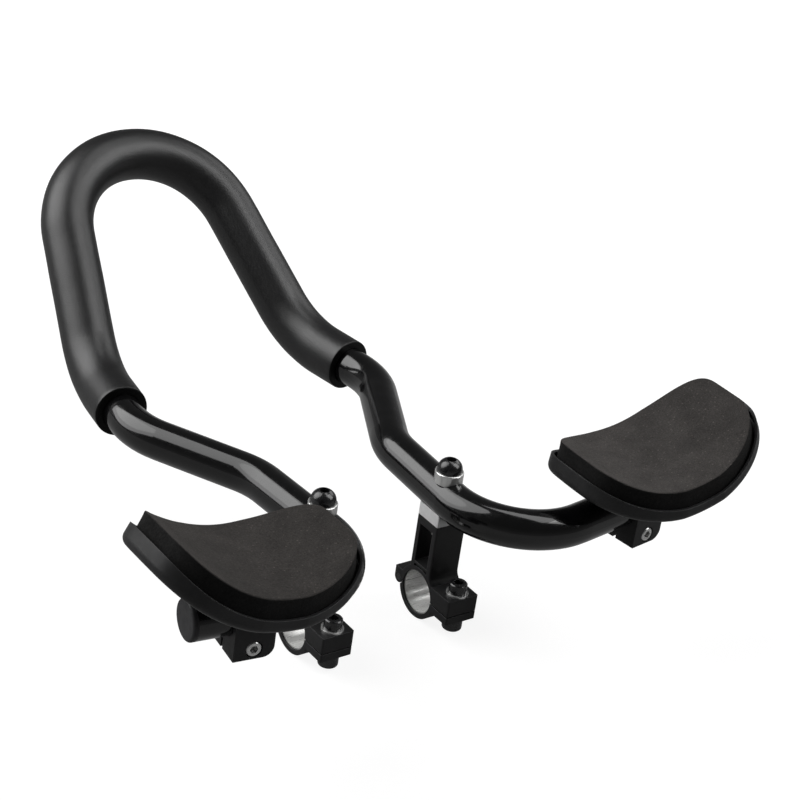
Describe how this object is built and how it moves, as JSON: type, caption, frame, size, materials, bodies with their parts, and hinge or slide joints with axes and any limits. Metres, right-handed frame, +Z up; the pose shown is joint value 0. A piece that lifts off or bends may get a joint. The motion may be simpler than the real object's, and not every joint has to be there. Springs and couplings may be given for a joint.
{
  "type": "aero handlebar extension",
  "caption": "Clip-on aero handlebar extension: bent black tube with a foam-covered hand loop in front, clamps for the handlebar and padded, trough-shaped armrests behind.",
  "frame": {"origin": "on the handlebar's axis, midway between the two clamps", "axes": "+X to the rider's right along the handlebar, +Y forwards, +Z up"},
  "size_m": [0.3805, 0.4077, 0.1774],
  "materials": {
    "tube_black": "gloss black on aluminium tube",
    "foam_charcoal": "closed-cell foam, matte",
    "pad_foam": "closed-cell foam, fine speckle, matte",
    "plug_black": "satin",
    "bracket_black": "satin black on cast aluminium",
    "liner_bright": "bright, fine turned lines",
    "spacer_grey": "bead blasted",
    "steel_bright": "bright plated",
    "bolt_black": "gloss black oxide",
    "cup_black": "satin moulded",
    "patch_grey": "hook and loop"
  },
  "bodies": {
    "bar": {"extension_tube": "tube_black", "foam_grip": "foam_charcoal", "left_end_plug": "plug_black", "right_end_plug": "plug_black", "left_riser_bracket": "bracket_black", "right_riser_bracket": "bracket_black", "left_clamp_cap": "bracket_black", "right_clamp_cap": "bracket_black", "upper_liners": "liner_bright", "lower_liners": "liner_bright", "left_saddle_spacer": "spacer_grey", "right_saddle_spacer": "spacer_grey", "saddle_washers": "steel_bright", "clamp_washers": "steel_bright", "bar_nuts": "steel_bright", "bar_bolts": "bolt_black", "clamp_bolts": "bolt_black", "clamp_nuts": "bolt_black", "hinge_pins": "bolt_black"},
    "left_armrest": {"left_armrest_cup": "cup_black", "left_armrest_pad": "pad_foam", "left_pad_patch": "patch_grey", "left_pinch_screw": "steel_bright", "left_pinch_nut": "steel_bright"},
    "right_armrest": {"right_armrest_cup": "cup_black", "right_armrest_pad": "pad_foam", "right_pad_patch": "patch_grey", "right_pinch_screw": "steel_bright", "right_pinch_nut": "steel_bright"}
  },
  "joints": [
    {"name": "left_armrest_tilt", "type": "hinge", "parent": "bar", "child": "left_armrest", "pos_m": [-0.11749, -0.04931, 0.06], "axis": [0.9912, -0.1323, 0], "range_deg": [-15, 15]},
    {"name": "right_armrest_tilt", "type": "hinge", "parent": "bar", "child": "right_armrest", "pos_m": [0.13722, -0.04668, 0.06], "axis": [0.9912, 0.1323, 0], "range_deg": [-15, 15]}
  ]
}
